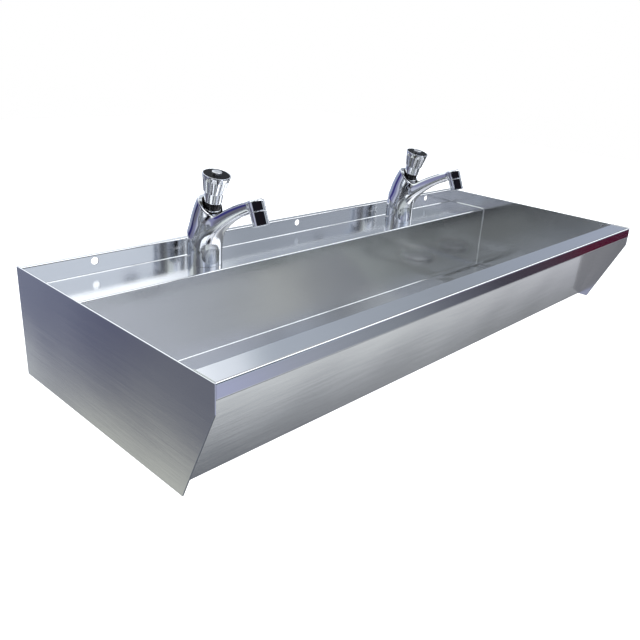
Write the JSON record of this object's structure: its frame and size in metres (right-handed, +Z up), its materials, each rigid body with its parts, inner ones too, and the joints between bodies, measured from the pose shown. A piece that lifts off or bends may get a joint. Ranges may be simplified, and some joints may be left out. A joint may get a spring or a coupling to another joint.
{
  "type": "trough sink",
  "caption": "Wall-hung trough sink of folded brushed stainless steel, with slanted end panels, a drilled upstand, a tap ledge with push taps, and an outlet tray with grid waste.",
  "frame": {"origin": "centre of the middle wall-fixing hole, on the back face of the upstand", "axes": "+X along the trough to the right as seen from the room, +Y towards the wall, +Z up"},
  "size_m": [1, 0.427, 0.3385],
  "materials": {
    "stainless_steel": "brushed",
    "waste_chrome": "polished",
    "tap_chrome": "mirror polished",
    "rubber": "matt",
    "nylon": "matt",
    "brass": "machined",
    "plated_steel": "zinc plated",
    "dark_plastic": "satin",
    "spring_steel": "drawn wire",
    "black_plastic": "glossy",
    "disc_metal": "satin"
  },
  "bodies": {
    "trough": {"trough_shell": "stainless_steel", "left_end_panel": "stainless_steel", "right_end_panel": "stainless_steel", "outlet_tray": "stainless_steel", "waste_body": "waste_chrome", "waste_grid": "waste_chrome", "waste_grid_screw": "waste_chrome", "waste_top_seal": "rubber", "waste_bottom_seal": "rubber", "waste_slip_washer": "nylon", "waste_backnut": "brass", "left_tap_body": "tap_chrome", "left_base_gasket": "rubber", "left_inlet_tail": "brass", "left_clamp_seal": "rubber", "left_clamp_washer": "plated_steel", "left_backnut": "brass", "left_valve_cartridge": "dark_plastic", "left_retaining_ring": "tap_chrome", "left_return_spring": "spring_steel", "left_nozzle_shell": "tap_chrome", "left_nozzle_seal": "rubber", "left_flow_insert": "nylon", "right_tap_body": "tap_chrome", "right_base_gasket": "rubber", "right_inlet_tail": "brass", "right_clamp_seal": "rubber", "right_clamp_washer": "plated_steel", "right_backnut": "brass", "right_valve_cartridge": "dark_plastic", "right_retaining_ring": "tap_chrome", "right_return_spring": "spring_steel", "right_nozzle_shell": "tap_chrome", "right_nozzle_seal": "rubber", "right_flow_insert": "nylon"},
    "left_knob": {"left_push_knob": "tap_chrome", "left_valve_stem": "brass", "left_knob_screw": "plated_steel", "left_knob_plate": "black_plastic", "left_knob_disc": "disc_metal"},
    "right_knob": {"right_push_knob": "tap_chrome", "right_valve_stem": "brass", "right_knob_screw": "plated_steel", "right_knob_plate": "black_plastic", "right_knob_disc": "disc_metal"}
  },
  "joints": [
    {"name": "left_press", "type": "slide", "parent": "trough", "child": "left_knob", "axis": [0, 0.225, -0.9744], "range_m": [0, 0.008], "stiffness_N_per_m": 1500, "springref_m": -0.006, "deforming": ["left_return_spring"]},
    {"name": "right_press", "type": "slide", "parent": "trough", "child": "right_knob", "axis": [0, 0.225, -0.9744], "range_m": [0, 0.008], "stiffness_N_per_m": 1500, "springref_m": -0.006, "deforming": ["right_return_spring"]}
  ]
}
